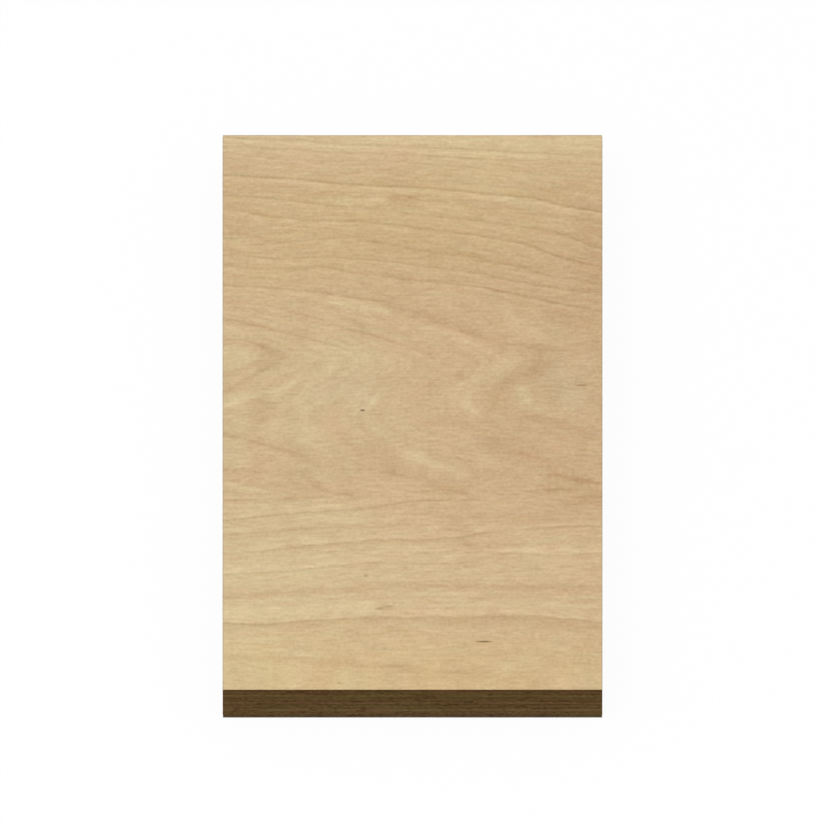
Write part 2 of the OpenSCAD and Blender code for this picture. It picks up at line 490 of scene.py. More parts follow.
# %% Fields of tint
# Middle in mm from the front left corner, half length, half width, and how much redder and how much more
# golden the wood is there, in sRGB steps of red over green and of green over blue.
FACE_TINTS = [
    (50, 170, 60, 25, 0, 4.4),
    (55, 6, 90, 17, 0, 4.5),
    (25, 193, 25, 8, 0, -1.8),
    (85, 193, 30, 10, 0, 1.8),
    (100, 150, 12, 24, 0.4, 0),
    (46, 191, 7, 6, 1.2, -1.5),
    (62, 138, 18, 14, 1.6, 0),
    (94, 114, 11, 10, -2.0, -2.2),
    (99, 105, 6, 5, -0.8, -2.0),
    (13, 120, 5, 5, -2.3, 0),
    (50, 195.5, 6, 4, 2.2, 0),
    (25, 190.5, 6, 4, 2.0, 0),
    (32, 108, 12, 7, -1.0, -3.0),
    (8, 103, 18, 26, -1.6, 0),
    (66, 124, 12, 9, 1.3, 0),
    (33, 121, 8, 8, -1.4, 0),
    (10, 150, 18, 8, 0, 1.8),
    (66, 135, 13, 8, 0, -1.4),
    (62, 98, 8, 8, 0.8, 0),
    (80, 107, 12, 8, -1.3, 0.6),
    (84, 105, 4, 5, 0, 2.0),
    (46, 93, 8, 8, -1.6, 0),
    (7, 79, 8, 7, 1.5, 0),
    (85, 82, 20, 16, 0.6, 0),
    (98, 76, 8, 3, -1.8, 1.5),
    (28, 80, 9, 4, -1.5, 0),
    (42, 74, 14, 14, 1.8, 0),
    (62, 71, 6, 4, 0, 2.5),
    (98, 71, 8, 4, 0, 2.5),
    (62, 62, 14, 8, 1.6, 0),
    (90, 63, 16, 8, 1.6, 0),
    (97, 40, 8, 6, 1.2, 0),
    (8, 50, 25, 30, -1.5, 0),
    (35, 62, 12, 8, -1.5, 0),
    (38, 105, 16, 20, -1.0, 0),
    (70, 12, 40, 14, 1.3, 0),
    (8, 15, 22, 12, -0.4, 1.0),
    (80, 80, 35, 40, 0, -0.8),
]
LESS_GOLD = -1.2


def tints(x, y, ovals):
    """Redness and gold: sums of amount * exp(-(u ** 2 + v ** 2)), u and v in half lengths and widths."""
    redder = np.zeros_like(x)
    golden = np.full_like(x, LESS_GOLD)
    for middle_x, middle_y, half_long, half_wide, red, gold in ovals:
        fade = np.exp(-((x - middle_x) / half_long) ** 2 - ((y - middle_y) / half_wide) ** 2)
        redder += red * fade
        golden += gold * fade
    return redder, golden


print(f"{len(FACE_TINTS)} fields of tint on the show face")

# %% [markdown]
# The faces as grids
#
# Both faces are grids, finer across the grain than along it. A ring line is only two or three cells wide,
# so the grid doesn't hold lines: it holds the contour map, which is smooth, and the material draws the
# lines from it at any sharpness. Sanding takes the soft pale wood down a little further than the hard dark
# wood, so the grid also gets a relief of about two hundredths of a millimetre. The rim is pulled in by
# less than a tenth, unevenly, since a cut through wood leaves no perfect arris.

# %% Grid points and figure of one face
CELL_ALONG = 1.25
CELL_ACROSS = 0.65
ARRIS = 0.04
RAGGED = 0.06
SANDING_RELIEF = 0.02
RING_GAP_LIMITS = (1.0, 30.0)
STRONGEST_LINE = 1.2
# Painted light: both faces get paler to the left and darker to the right, as if lit from the left.
PAINTED_LIGHT_FROM_LEFT = 4.0
FLATTEST_SLOPE = 1e-6
SEED = 12

chance = np.random.default_rng(SEED)
columns = round(width / CELL_ALONG) + 1
rows = round(length / CELL_ACROSS) + 1
grid_lines = np.linspace(low[0], high[0], columns), np.linspace(low[1], high[1], rows)
grid_x, grid_y = np.meshgrid(*grid_lines)
rim_wear = ARRIS + RAGGED * chance.random((rows, columns))
face_x = np.clip(grid_x, low[0] + rim_wear, high[0] - rim_wear)
face_y = np.clip(grid_y, low[1] + rim_wear, high[1] - rim_wear)


def figure(ring_map, bands, ovals):
    """What a finish follows: ring number, mm to one ring (1 / slope), line strength, tones and tints."""
    from_left = grid_x - low[0]
    from_front = grid_y - low[1]
    ring, strength, tone = np.moveaxis(ring_map(from_left, from_front), -1, 0)
    slope = np.hypot(*np.gradient(ring, length / (rows - 1), width / (columns - 1)))
    redder, golden = tints(from_left, from_front, ovals)
    return {
        "ring": ring,
        "ring_gap": np.clip(1 / np.maximum(slope, FLATTEST_SLOPE), *RING_GAP_LIMITS),
        "line_strength": np.clip(strength, 0, STRONGEST_LINE),
        # The tone includes painted light: paler to the left, darker to the right.
        "tone": tone + PAINTED_LIGHT_FROM_LEFT * (0.5 - from_left / width),
        "band": band_tone(from_left, from_front, bands),
        "redder": redder,
        "golden": golden,
    }


show_face = figure(face_map, show_bands, FACE_TINTS)
back_face = figure(back_map, [], [])
hollow = SANDING_RELIEF * show_face["line_strength"] * (1 - show_face["ring"] % 1)
print(f"faces: {columns} x {rows} points each, rings {np.median(show_face['ring_gap']):.1f} mm apart")

# %% [markdown]
# The cut edge
#
# A laser leaves a flat, square edge, but not a smooth one. Where the fibres of a veneer end at the cut,
# the beam burns them back a little behind the veneers whose fibres run along it, and each glue line chars
# into a fine groove. The veneers cross, so what is end grain on the front edge is long grain on the
# sides. The edge is one profile, the setback at each height, carried round the outline of the sheet. It
# could be a bump in the material, but a true profile also shows in the outline of the corners and in the
# mesh itself.

# %% Rows of the edge, from the back face up
# The veneers are those of the solid, in mm.
BACK_VENEER = 0.9
FACE_VENEER = 0.6
VENEER_COUNT = 9
ROWS_PER_VENEER = 4
GROOVE_REACH = 0.2

inner_veneer = (thickness - BACK_VENEER - FACE_VENEER) / (VENEER_COUNT - 2)
glue_z = BACK_VENEER + inner_veneer * np.arange(VENEER_COUNT - 1)
veneer_bottom = np.concatenate([[ARRIS], glue_z + GROOVE_REACH])
veneer_top = np.concatenate([glue_z - GROOVE_REACH, [thickness - ARRIS]])
wood_z = np.linspace(veneer_bottom, veneer_top, ROWS_PER_VENEER, axis=1).ravel()
row_order = np.argsort(np.concatenate([wood_z, glue_z]))


def edge_rows(on_wood, on_glue):
    """One value per row of the edge, from one per veneer and one per glue line, in order of height."""
    return np.concatenate([np.repeat(on_wood, ROWS_PER_VENEER), on_glue])[row_order].astype(float)


row_z = np.concatenate([wood_z, glue_z])[row_order]
print(f"edge: {len(row_z)} rows over {VENEER_COUNT} veneers, the inner ones {inner_veneer:.2f} mm thick")

# %% Setback and char of each row
END_GRAIN_SETBACK = 0.08
GROOVE_DEPTH = 0.15
GLUE_END_GRAIN = 0.5
# Lightness of the char in sRGB steps, from the back up: of each veneer, and of each glue line.
VENEER_STEPS = [-3, 2, 9, 1, 4, -3, 0, -6, 2]
GLUE_STEPS = [-12, -12, -3, -40, -8, -4, 0, -60]
# Strength of its colour, which is richer under the show face and greyer at the back, where that is painted
# shade.
VENEER_RICHNESS_AND_SHADE = [0.75, 1, 1, 1, 1, 1, 1, 1, 1.05]
GLUE_RICHNESS_AND_SHADE = [0.95, 1, 1, 1, 1, 1, 1.05, 1.2]
# How much redder each of them is than the rest, in sRGB steps of red over green.
VENEER_REDNESS = [-1, 2, 0, -2, 2, 0, -1, 2, 3]
GLUE_REDNESS = [0, 3, -2, 0, 1, 0, 0, 4]

grain_along_x = np.arange(VENEER_COUNT) % 2 == 0
groove_setback = np.full(VENEER_COUNT - 1, END_GRAIN_SETBACK + GROOVE_DEPTH)
front_setback = edge_rows(np.where(grain_along_x, 0, END_GRAIN_SETBACK), groove_setback)
side_setback = edge_rows(np.where(grain_along_x, END_GRAIN_SETBACK, 0), groove_setback)
front_end_grain = edge_rows(np.where(grain_along_x, 0, 1), np.full(VENEER_COUNT - 1, GLUE_END_GRAIN))
row_finish = {
    "char": edge_rows(VENEER_STEPS, GLUE_STEPS),
    "richness_and_shade": edge_rows(VENEER_RICHNESS_AND_SHADE, GLUE_RICHNESS_AND_SHADE),
    "redness": edge_rows(VENEER_REDNESS, GLUE_REDNESS),
}
print(f"grooves {groove_setback[0]:.2f} mm deep")

# %% [markdown]
# Relief along the edge
#
# Close up, the charred wood is ridged along the fibres. Smoothed random numbers give ridges: smoothing
# over a long stretch makes long ridges for long grain, and smoothing over a short one makes the pits of
# end grain. The generator has a fixed seed, so every run cuts the same edge.

# %% Ridges and pits
RIDGE_DEPTH = 0.035
LONG_GRAIN_RUN = 15
END_GRAIN_RUN = 3


def rim(grid):
    """Values round the border of a grid, anticlockwise from its front left corner."""
    return np.concatenate([grid[0, :-1], grid[:-1, -1], grid[-1, :0:-1], grid[:0:-1, 0]])


def smoothed(noise, run):
    """Mean of each value and its neighbours along the outline, scaled to run from about 0 to 1."""
    total = sum(np.roll(noise, shift, axis=1) for shift in range(run))
    return np.clip(0.5 + (total / run - 0.5) * math.sqrt(run), 0, 1)


loop_x = rim(grid_x)
loop_y = rim(grid_y)
on_side = np.isclose(np.abs(loop_x - middle[0]), width / 2)
raw = chance.random((len(row_z), len(loop_x)))
end_grain = np.where(on_side, 1 - front_end_grain[:, None], front_end_grain[:, None])
long_ridges = smoothed(raw, LONG_GRAIN_RUN) * (1 - end_grain)
end_pits = smoothed(raw, END_GRAIN_RUN) * end_grain
ridges = RIDGE_DEPTH * (long_ridges + end_pits)
print(f"ridges: {ridges.min():.3f} to {ridges.max():.3f} mm deep, {len(loop_x)} points round the sheet")

# %% Carry the profile round the outline
front_depth = front_setback[:, None] + ridges
side_depth = side_setback[:, None] + ridges
edge_x = np.clip(loop_x, low[0] + side_depth, high[0] - side_depth)
edge_y = np.clip(loop_y, low[1] + front_depth, high[1] - front_depth)
edge_z = np.broadcast_to(low[2] + row_z[:, None], edge_x.shape)
print(f"edge: {edge_x.size} points")

# %% [markdown]
# One closed mesh
#
# The edge shares the points of both rims with the faces, so the sheet is one closed skin with no seams.
# The rows of the edge start from the rim of the back face and end at the rim of the show face, and every
# quad is listed so that its normal points outwards.

# %% Join faces and edge


def quads(numbers):
    """Each cell of a grid of point numbers as a quad, anticlockwise."""
    corners = (numbers[:-1, :-1], numbers[:-1, 1:], numbers[1:, 1:], numbers[1:, :-1])
    return np.stack(corners, -1).reshape(-1, 4)


back_numbers = np.arange(grid_x.size).reshape(grid_x.shape)
show_numbers = back_numbers + grid_x.size
edge_numbers = np.arange(edge_x.size).reshape(edge_x.shape) + 2 * grid_x.size
loops = np.vstack([rim(back_numbers), edge_numbers, rim(show_numbers)])
loops = np.hstack([loops, loops[:, :1]])

back_points = np.stack([face_x, face_y, np.full_like(face_x, low[2])], -1)
show_points = np.stack([face_x, face_y, high[2] - hollow], -1)
edge_points = np.stack([edge_x, edge_y, edge_z], -1)
points = np.concatenate([part.reshape(-1, 3) for part in (back_points, show_points, edge_points)])
sides = [quads(show_numbers), quads(back_numbers)[:, ::-1], quads(loops)]
faces = np.concatenate(sides)
print(f"skin: {len(points)} points, {2 * len(faces)} triangles")

# %% Make the mesh
SHARP_FROM = math.radians(35)
FACE_FINISH = 0
EDGE_FINISH = 1

skin = bpy.data.meshes.new("birch_plywood_sheet")
skin.from_pydata((points * MM).tolist(), [], faces.tolist())
finishes = np.repeat([FACE_FINISH, FACE_FINISH, EDGE_FINISH], [len(side) for side in sides])
skin.polygons.foreach_set("material_index", finishes.astype(np.int32))
skin.polygons.foreach_set("use_smooth", np.ones(len(faces), bool))
skin.set_sharp_from_angle(angle=SHARP_FROM)
print(f"mesh: {len(skin.polygons)} quads")

# %% [markdown]
# What the finishes need to know
#
# A finish that follows the piece needs more than a position: where the rings are, how dark a row of the
# edge is charred, and whether its fibres end there. These go on the points as attributes, which the
# materials read by name.

# %% Attributes on the points
edge_finish = {name: np.broadcast_to(row[:, None], edge_x.shape) for name, row in row_finish.items()}
edge_finish["end_grain"] = end_grain
no_face = np.zeros_like(grid_x)
no_edge = np.zeros_like(edge_x)
for name in (*show_face, *edge_finish):
    parts = back_face.get(name, no_face), show_face.get(name, no_face), edge_finish.get(name, no_edge)
    values = np.concatenate([part.ravel() for part in parts])
    skin.attributes.new(name, "FLOAT", "POINT").data.foreach_set("value", values.astype(np.float32))
print("attributes:", ", ".join((*show_face, *edge_finish)))

# %% [markdown]
# Sanded birch: the rings
#
# Birch is pale, fine and almost without pores. Sanded and left raw, it is matt, and what the eye sees
# first are the rings: wood that darkens towards the end of a year's growth, a thin brown line there, and
# a pale band where the next spring starts. The fraction of the ring number says how far through a year a
# point is, and the distance between rings turns that into millimetres before and after the line. Each
# part of the pattern is worked out in sRGB steps of lightness, because those can be read off a picture.

# %% Face finish: a line and two bands in every ring
# Run along the grain and across it in mm, and octaves of finer noise on top.
RING_NOISES = {"wander": (20.0, 6.0, 2.0), "fade": (26.0, 5.0, 1.0)}
WANDER_RINGS = 0.015
# A noise node keeps to the middle of its range, so these are its everyday least and most.
NOISE_RANGE = (0.25, 0.75)

birch = bpy.data.materials.new("birch_veneer_sanded")
tree = empty_tree(birch)
in_mm, read = place_and_readings(tree, show_face)
noise = {}
for name, (run, across, octaves) in RING_NOISES.items():
    noise_at = add(tree, "Mapping", {"Vector": in_mm, "Scale": (1 / run, 1 / across, 1)})
    noise[name] = add(tree, "TexNoise", {"Vector": noise_at, "Scale": 1.0, "Detail": octaves})

shift = add(tree, "MapRange", [noise["wander"], *NOISE_RANGE, -WANDER_RINGS, WANDER_RINGS])
ring = add(tree, "Math", [read["ring"], shift], operation="ADD")
phase = add(tree, "Math", [ring], operation="FRACT")
rest_of_ring = add(tree, "Math", [1.0, phase], operation="SUBTRACT")
past_line = add(tree, "Math", [phase, read["ring_gap"]], operation="MULTIPLY")
to_line = add(tree, "Math", [rest_of_ring, read["ring_gap"]], operation="MULTIPLY")
from_line = add(tree, "Math", [past_line, to_line], operation="MINIMUM")
print(f"ring lines wander {WANDER_RINGS} of a ring to each side")

# %% Face finish: lightness of the rings
LINE_HALF = 0.75
LINE_STEPS = -12
DARK_RUN = 2.0
DARK_STEPS = -1.5
PALE_RISE = (0.15, 0.8)
PALE_FALL = (0.9, 3.2)
PALE_STEPS = 7
FADE_RANGE = (0.6, 1.15)
# Eases a map range in and out.
SMOOTH = {"interpolation_type": "SMOOTHSTEP"}

line = add(tree, "MapRange", [from_line, 0.0, LINE_HALF, LINE_STEPS, 0.0], **SMOOTH)
dark = add(tree, "MapRange", [to_line, 0.0, DARK_RUN, DARK_STEPS, 0.0], **SMOOTH)
rise = add(tree, "MapRange", [past_line, *PALE_RISE, 0.0, PALE_STEPS], **SMOOTH)
fall = add(tree, "MapRange", [past_line, *PALE_FALL, 1.0, 0.0], **SMOOTH)
beside_line = add(tree, "Math", [rise, fall, dark], operation="MULTIPLY_ADD")
fade = add(tree, "MapRange", [noise["fade"], *NOISE_RANGE, *FADE_RANGE])
ring_steps = add(tree, "Math", [line, fade, beside_line], operation="MULTIPLY_ADD")
ring_steps = add(tree, "Math", [ring_steps, read["line_strength"]], operation="MULTIPLY")
print(f"ring lines {2 * LINE_HALF} mm wide, {-LINE_STEPS} steps darker, spring wood {PALE_STEPS} paler")

# %% [markdown]
# Sanded birch: fibres and streaks
#
# Between the rings the wood is a felt of fine fibres. Stretched noise gives it: short grains, and dashes
# a few millimetres long. Real fibres are thinner than a pixel here, so both are drawn coarser than the
# real ones. Each ring also carries three faint lines of its own, where the growth paused. Wider streaks
# run with the rings: that noise is read at the ring number, not at the place across the grain, so it
# bends where the lines bend. The soft bands break up into such streaks too.

# %% Face finish: fibres and faint rings
# Run along the grain and across it in mm, and steps up or down.
FIBRES = [(1.1, 1.0, 7.0), (4.0, 1.0, 7.5)]
FIBRE_OCTAVES = 2.0
FAINT_RINGS = 3.0
FAINT_STEPS = 5.0
FAINT_FROM, FAINT_TO = 0.45, 0.6

fibre_steps = 0.0
for run, across, steps in FIBRES:
    spread = (1 / run, 1 / across, 1)
    fibre_at = add(tree, "Mapping", {"Vector": in_mm, "Scale": spread, "Location": (run, 0, 0)})
    fibre = add(tree, "TexNoise", {"Vector": fibre_at, "Scale": 1.0, "Detail": FIBRE_OCTAVES})
    fibre_part = add(tree, "MapRange", [fibre, *NOISE_RANGE, -steps, steps], clamp=False)
    fibre_steps = add(tree, "Math", [fibre_steps, fibre_part], operation="ADD")

faint = add(tree, "Math", [ring, FAINT_RINGS], operation="MULTIPLY")
faint = add(tree, "Math", [faint], operation="FRACT")
faint_steps = add(tree, "MapRange", [faint, 0.0, 1.0, FAINT_STEPS, -FAINT_STEPS])
faint_steps = add(tree, "Math", [faint_steps, read["line_strength"]], operation="MULTIPLY")
faint_shown = add(tree, "MapRange", [fibre, FAINT_FROM, FAINT_TO, 0.0, 1.0], **SMOOTH)
grain_steps = add(tree, "Math", [faint_steps, faint_shown, fibre_steps], operation="MULTIPLY_ADD")
print(f"{len(FIBRES)} sizes of fibre")

# %% Face finish: streaks that run with the rings
STREAK_RUN = 9.0
STREAKS_PER_RING = 5.0
STREAK_ROUGHNESS = 0.6
# Layer of the noise, so that the four don't match, and octaves of finer noise on top.
RING_STREAKS = {"light": (0, 3.0), "band_share": (7, 3.0), "redder": (5, 0.0), "golden": (11, 0.0)}
LIGHT_STEPS = 7.0
BAND_SHARE = (0.55, 1.6)

on_face = add(tree, "SeparateXYZ", [in_mm]).outputs
streak_x = add(tree, "Math", [on_face["X"], 1 / STREAK_RUN], operation="MULTIPLY")
streak_y = add(tree, "Math", [ring, STREAKS_PER_RING], operation="MULTIPLY")
with_rings = add(tree, "CombineXYZ", [streak_x, streak_y])
streaks = {}
for name, (layer, octaves) in RING_STREAKS.items():
    streak_at = add(tree, "Mapping", {"Vector": with_rings, "Location": (0, 0, layer)})
    streaks[name] = add(tree, "TexNoise", {
        "Vector": streak_at, "Scale": 1.0, "Detail": octaves, "Roughness": STREAK_ROUGHNESS})

light_steps = add(tree, "MapRange", [streaks["light"], *NOISE_RANGE, -LIGHT_STEPS, LIGHT_STEPS], clamp=False)
share = add(tree, "MapRange", [streaks["band_share"], *NOISE_RANGE, *BAND_SHARE])
band_steps = add(tree, "Math", [read["band"], share, light_steps], operation="MULTIPLY_ADD")
print(f"{len(RING_STREAKS)} kinds of streak")

# %% [markdown]
# Sanded birch: colour
#
# Tone, bands and streaks add up to a lightness, which picks the colour from a ramp: darker wood is pinker
# here, and paler wood is nearer to straw. Lines and fibres are too fine to have a hue of their own, so
# they only take light away or add some. Near these tones one sRGB step of red, green or blue is a nearly
# fixed small amount of linear light, so a step is a small vector. The fields of tint, and streaks of
# redder and more golden wood, are steps of red up and of blue down.

# %% Face finish: colour from the sum of the steps
STEPS_IN_RAMP = 52
RAMP_MIDDLE = 0.5
BIRCH_DARK = "#BB966D"
BIRCH_PLAIN = "#CFB389"
BIRCH_PALE = "#E3D0A2"
RED_STREAK_STEPS = 1.8
GOLD_STREAK_STEPS = 1.4
LIGHT_STEP = (0.0067, 0.0056, 0.0040)
RED_STEP = (0.0067, 0.0, 0.0)
GOLD_STEP = (0.0, 0.0, -0.0040)

fine_steps = add(tree, "Math", [ring_steps, grain_steps], operation="ADD")
# The tone carries painted light from the left besides the wood's own tone.
broad_steps = add(tree, "Math", [read["tone"], band_steps], operation="ADD")
lightness = add(tree, "Math", [broad_steps, 1 / STEPS_IN_RAMP, RAMP_MIDDLE], operation="MULTIPLY_ADD")
ramp = add(tree, "ValToRGB", [lightness])
ramp.color_ramp.elements[0].color = linear(BIRCH_DARK)
ramp.color_ramp.elements[1].color = linear(BIRCH_PALE)
ramp.color_ramp.elements.new(RAMP_MIDDLE).color = linear(BIRCH_PLAIN)

changes = {}
for name, steps in (("redder", RED_STREAK_STEPS), ("golden", GOLD_STREAK_STEPS)):
    change = add(tree, "MapRange", [streaks[name], *NOISE_RANGE, -steps, steps], clamp=False)
    changes[name] = add(tree, "Math", [read[name], change], operation="ADD")
grained = add(tree, "VectorMath", [LIGHT_STEP, fine_steps, ramp], operation="MULTIPLY_ADD")
reddened = add(tree, "VectorMath", [RED_STEP, changes["redder"], grained], operation="MULTIPLY_ADD")
tinted = add(tree, "VectorMath", [GOLD_STEP, changes["golden"], reddened], operation="MULTIPLY_ADD")
print(f"birch tones from {BIRCH_DARK} to {BIRCH_PALE}")

# %% [markdown]
# Sanded birch: flecks and scorch
#
# A few small dark flecks are pith and bark that the knife caught, and a paler one is a scar in the grain.
# The heat of the cut also browns a hair's breadth of the face along its sides and its far border. All are
# masks that mix in a darker colour.

# %% Face finish: flecks
# Middle in mm from the front left corner, half length, half width, strength and colour of each fleck.
FLECKS = [
    (38.7, 100.8, 0.9, 0.5, 0.8, "#6B5230"),
    (72.3, 17.4, 2.6, 0.4, 0.8, "#6B5230"),
    (99.2, 109.8, 2.2, 0.45, 0.5, "#8A5A3A"),
    (45.2, 29.6, 2.8, 1.0, 0.5, "#BB9D71"),
    (43.2, 29.3, 1.5, 0.6, 0.45, "#9A7D54"),
    (46.0, 30.2, 1.8, 0.4, 0.35, "#A4875C"),
    (39.6, 41.2, 0.8, 0.7, 0.4, "#8F7348"),
    (44.9, 14.8, 0.8, 0.6, 0.3, "#8F7348"),
    (32.2, 2.4, 0.7, 0.6, 0.3, "#8F7348"),
]
FLECK_DEPTH = 1.0
FLECK_FULL, FLECK_GONE = 0.3, 1.2
# Places of the colour sockets on a Mix node.
MIX_A, MIX_B, MIX_OUT = 6, 7, 2

flecked = tinted.outputs[0]
for middle_x, middle_y, half_long, half_wide, power, colour in FLECKS:
    spread = (1 / half_long, 1 / half_wide, 1 / FLECK_DEPTH)
    fleck_middle = (middle_x + low[0], middle_y + low[1], high[2])
    place = [-at * per_mm for at, per_mm in zip(fleck_middle, spread)]
    fleck_at = add(tree, "Mapping", {"Vector": in_mm, "Scale": spread, "Location": place})
    reach = add(tree, "VectorMath", [fleck_at], operation="LENGTH").outputs["Value"]
    fleck = add(tree, "MapRange", [reach, FLECK_FULL, FLECK_GONE, power, 0.0], **SMOOTH)
    mixed = add(tree, "Mix", {0: fleck, MIX_A: flecked, MIX_B: linear(colour)}, data_type="RGBA")
    flecked = mixed.outputs[MIX_OUT]
print(f"{len(FLECKS)} flecks")

# %% Face finish: scorched border
SCORCH_WIDTH = 0.35
SCORCH_SHARE = 0.25
SCORCH_COLOUR = "#7A6240"

from_middle = add(tree, "Math", [on_face["X"]], operation="ABSOLUTE")
to_side = add(tree, "Math", [width / 2, from_middle], operation="SUBTRACT")
to_back = add(tree, "Math", [length / 2, on_face["Y"]], operation="SUBTRACT")
to_border = add(tree, "Math", [to_side, to_back], operation="MINIMUM")
scorch = add(tree, "MapRange", [to_border, 0.0, SCORCH_WIDTH, SCORCH_SHARE, 0.0], **SMOOTH)
scorched = add(tree, "Mix", {0: scorch, MIX_A: flecked, MIX_B: linear(SCORCH_COLOUR)}, data_type="RGBA")
print(f"border scorched {SCORCH_WIDTH} mm wide")

# %% Face finish: surface
WOOD_IOR = 1.5
BIRCH_ROUGHNESS = 0.62
BIRCH_SHINE = 0.2
BUMP_HEIGHT = 0.03
BUMP_STRENGTH = 0.25

surface = add(tree, "BsdfPrincipled", {
    "Base Color": scorched.outputs[MIX_OUT], "Roughness": BIRCH_ROUGHNESS, "IOR": WOOD_IOR,
    "Specular IOR Level": BIRCH_SHINE})
bump = add(tree, "Bump", {"Height": fibre_steps, "Strength": BUMP_STRENGTH, "Distance": BUMP_HEIGHT * MM})
tree.links.new(bump.outputs["Normal"], surface.inputs["Normal"])
add(tree, "OutputMaterial", {"Surface": surface})
skin.materials.append(birch)
print(birch.name, "has", len(tree.nodes), "nodes")

# %% [markdown]
# The charred edge
#
# The beam leaves a thin brown char. The edge is painted darkest along the glue lines and just under the
# show face. Char is soot-matt, so almost nothing shines. The rows already carry how dark each veneer and
# glue line is; the finish breaks that up with streaks along the edge, grains where fibres end, and short
# dark dashes, and it turns the hue between reddish and olive brown.

# %% Edge finish: streaks, grains and dashes
# Run along the edge and height in mm, octaves of finer noise on top, and where the noise starts.
CHAR_NOISES = {
    "long_streak": (16.0, 0.55, 2.0, (0, 0, 0)),
    "short_streak": (1.3, 0.6, 2.0, (0, 0, 0)),
    "end_grain": (0.8, 0.6, 2.0, (0, 0, 0)),
    "dash": (3.0, 0.7, 1.0, (3, 5, 7)),
    "shown": (16.0, 1.4, 1.0, (0, 0, 0)),
    "hue": (16.0, 2.6, 2.0, (0, 0, 0)),
}
# How far streaks and end grain go up or down, in sRGB steps.
CHAR_GRAINS = {"long_streak": 7.0, "short_streak": 11.0, "end_grain": 10.0}
DASH_STEPS = -16.0
DASH_FROM, DASH_TO = 0.58, 0.72
SHOWN_RANGE = (0.3, 1.4)

char = bpy.data.materials.new("birch_edge_laser_charred")
tree = empty_tree(char)
in_mm, read = place_and_readings(tree, edge_finish)
noise = {}
for name, (run, rise, octaves, start) in CHAR_NOISES.items():
    spread = (1 / run, 1 / run, 1 / rise)
    noise_at = add(tree, "Mapping", {"Vector": in_mm, "Scale": spread, "Location": start})
    noise[name] = add(tree, "TexNoise", {"Vector": noise_at, "Scale": 1.0, "Detail": octaves})

grains = {}
for name, steps in CHAR_GRAINS.items():
    grains[name] = add(tree, "MapRange", [noise[name], *NOISE_RANGE, -steps, steps], clamp=False)
streak_steps = add(tree, "Math", [grains["long_streak"], grains["short_streak"]], operation="ADD")
grain_steps = add(tree, "Math", [grains["end_grain"], read["end_grain"], streak_steps],
                  operation="MULTIPLY_ADD")
dash_steps = add(tree, "MapRange", [noise["dash"], DASH_FROM, DASH_TO, 0.0, DASH_STEPS], **SMOOTH)
grain_steps = add(tree, "Math", [grain_steps, dash_steps], operation="ADD")
shown = add(tree, "MapRange", [noise["shown"], *NOISE_RANGE, *SHOWN_RANGE])
step_sum = add(tree, "Math", [read["char"], shown, grain_steps], operation="MULTIPLY_ADD")
print(f"{len(CHAR_NOISES)} noises on the edge")

# %% Edge finish: colour and surface
CHAR_DARK = "#432D0F"
CHAR_PLAIN = "#5D4727"
CHAR_PALE = "#776041"
CHAR_HUES = (0.484, 0.516)
HUE_PER_STEP = -0.0025
CHAR_ROUGHNESS = 0.9
CHAR_SHINE = 0.1

lightness = add(tree, "Math", [step_sum, 1 / STEPS_IN_RAMP, RAMP_MIDDLE], operation="MULTIPLY_ADD")
ramp = add(tree, "ValToRGB", [lightness])
ramp.color_ramp.elements[0].color = linear(CHAR_DARK)
ramp.color_ramp.elements[1].color = linear(CHAR_PALE)
ramp.color_ramp.elements.new(RAMP_MIDDLE).color = linear(CHAR_PLAIN)
hue = add(tree, "MapRange", [noise["hue"], *NOISE_RANGE, *CHAR_HUES], clamp=False)
hue = add(tree, "Math", [read["redness"], HUE_PER_STEP, hue], operation="MULTIPLY_ADD")
# The saturation also holds painted shade: the back veneer of the edge is painted greyer.
tinted = add(tree, "HueSaturation", {"Hue": hue, "Saturation": read["richness_and_shade"], "Color": ramp})
surface = add(tree, "BsdfPrincipled", {
    "Base Color": tinted, "Roughness": CHAR_ROUGHNESS, "IOR": WOOD_IOR, "Specular IOR Level": CHAR_SHINE})
add(tree, "OutputMaterial", {"Surface": surface})
skin.materials.append(char)
print(char.name, "has", len(tree.nodes), "nodes")

# %% [markdown]
# Into the frame
#
# The finished skin stands for the plain CAD solid, which stays in the physics, and it rides on the part's
# only body.

# %% Put the sheet in the frame
sheet = bpy.data.objects.new("birch_plywood_sheet", skin)
bpy.context.scene.collection.objects.link(sheet)
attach(sheet, "root")
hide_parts("plywood_sheet")
print(sheet.name, "rides on root")

# %% [markdown]
# The table under it
#
# The sheet lies on a white table. A white that is only paint would look grey under plain light, so most
# of what the camera sees of the table is its own white, and the rest is matt paint, which keeps a faint
# shadow. Light that bounces off the table sees only the paint, so the table doesn't light the sheet.

# %% Floor
FLOOR_SIDE = 2000.0
FLOOR_DROP = 0.2
OWN_WHITE = 0.95
PAINT = (0.94, 0.94, 0.94, 1.0)
WHITE = (1.0, 1.0, 1.0, 1.0)


def seen_directly(tree):
    """1 for rays that show a surface to the eye, straight, mirrored or through glass, and 0 for others."""
    rays = add(tree, "LightPath").outputs
    seen = add(tree, "Math", [rays["Is Camera Ray"], rays["Is Glossy Ray"]], operation="MAXIMUM")
    return add(tree, "Math", [seen, rays["Is Transmission Ray"]], operation="MAXIMUM")


corner_signs = np.array([(-1, -1, 0), (1, -1, 0), (1, 1, 0), (-1, 1, 0)])
corners = corner_signs * FLOOR_SIDE / 2 + (0, 0, low[2] - FLOOR_DROP)
floor_mesh = bpy.data.meshes.new("floor")
floor_mesh.from_pydata((corners * MM).tolist(), [], [(0, 1, 2, 3)])
floor = bpy.data.objects.new("floor", floor_mesh)
bpy.context.scene.collection.objects.link(floor)

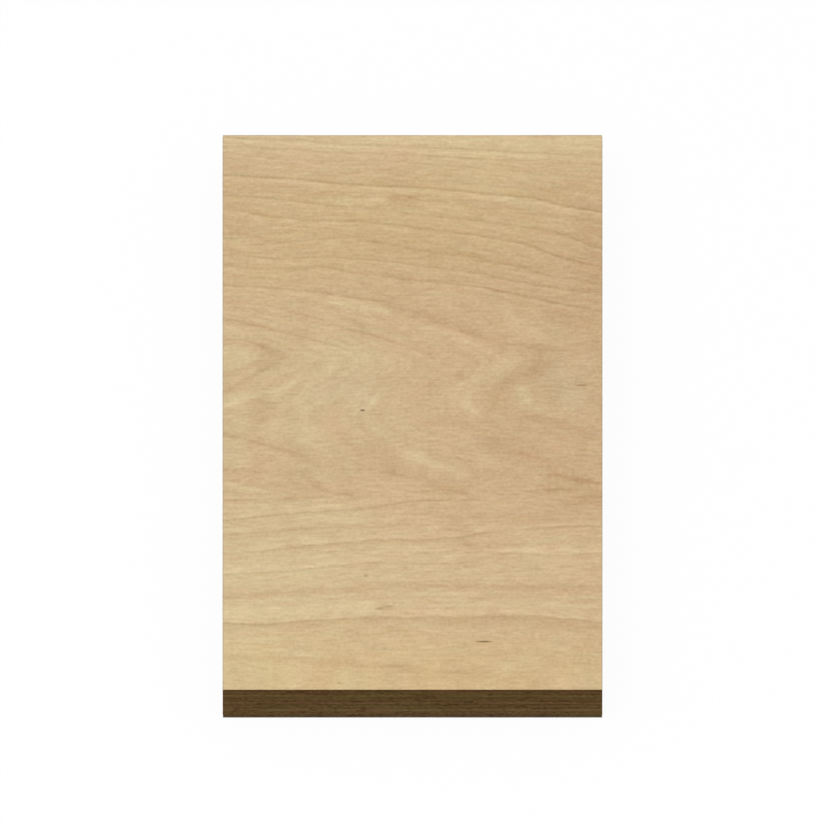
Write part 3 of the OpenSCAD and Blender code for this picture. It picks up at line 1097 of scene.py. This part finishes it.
paint = bpy.data.materials.new("white_table_matt")
tree = empty_tree(paint)
share = add(tree, "Math", [seen_directly(tree), OWN_WHITE], operation="MULTIPLY")
matt = add(tree, "BsdfDiffuse", {"Color": PAINT})
glow = add(tree, "Emission", {"Color": WHITE, "Strength": 1.0})
add(tree, "OutputMaterial", {"Surface": add(tree, "MixShader", [share, matt, glow])})
floor_mesh.materials.append(paint)
print(f"floor: {FLOOR_SIDE:.0f} mm square")

# %% [markdown]
# Light
#
# The light is that of a white room with one large softbox at the front left. Together they are set so
# that the face renders about as its colours are written.

# %% White room
ROOM_LIGHT = 0.78

scene = bpy.context.scene
scene.view_settings.view_transform = "Standard"
world = bpy.data.worlds.new("soft_white_room")
scene.world = world
tree = empty_tree(world)
level = add(tree, "MapRange", [seen_directly(tree), 0.0, 1.0, ROOM_LIGHT, 1.0])
add(tree, "OutputWorld", {"Surface": add(tree, "Background", {"Color": WHITE, "Strength": level})})
print(f"room light {ROOM_LIGHT}")

# %% Softbox
SOFTBOX_PLACE = np.array([-600.0, -500.0, 1200.0])
SOFTBOX_SIDE = 900.0
SOFTBOX_WATTS = 5.6

lamp = bpy.data.lights.new("softbox", "AREA")
lamp.size = SOFTBOX_SIDE * MM
lamp.energy = SOFTBOX_WATTS
softbox = bpy.data.objects.new("softbox", lamp)
softbox.location = SOFTBOX_PLACE * MM
softbox.rotation_euler = (-softbox.location).to_track_quat("-Z", "Y").to_euler()
scene.collection.objects.link(softbox)
print(f"softbox: {SOFTBOX_SIDE:.0f} mm square, {SOFTBOX_WATTS} W")

# %% [markdown]
# Camera
#
# The sides of the sheet stay parallel in the picture, so the camera is orthographic. It looks down from
# the front at the angle that gives the face and the edge their heights, and the width of the sheet in
# pixels sets its scale.

# %% Camera
# In pixels of the picture.
IMAGE_SIDE = 823
SHEET_PIXELS_WIDE = 379.7
SHEET_RIGHT_OF_MIDDLE = 1.0
SHEET_BELOW_MIDDLE = 14.85

ELEVATION = math.radians(50.1)
CAMERA_DISTANCE = 1500.0
CAMERA_REACH = 10000.0

mm_per_pixel = width / SHEET_PIXELS_WIDE
right = np.array([1.0, 0.0, 0.0])
up = np.array([0.0, math.sin(ELEVATION), math.cos(ELEVATION)])
towards_camera = np.array([0.0, -math.cos(ELEVATION), math.sin(ELEVATION)])
aim = middle + mm_per_pixel * (SHEET_BELOW_MIDDLE * up - SHEET_RIGHT_OF_MIDDLE * right)
lens = bpy.data.cameras.new("camera")
lens.type = "ORTHO"
lens.ortho_scale = IMAGE_SIDE * mm_per_pixel * MM
lens.clip_end = CAMERA_REACH * MM
camera = bpy.data.objects.new("camera", lens)
camera.location = (aim + CAMERA_DISTANCE * towards_camera) * MM
camera.rotation_euler = (math.pi / 2 - ELEVATION, 0, 0)
scene.collection.objects.link(camera)
scene.camera = camera
print(f"camera: {math.degrees(ELEVATION):.1f} degrees up, {lens.ortho_scale / MM:.1f} mm across")
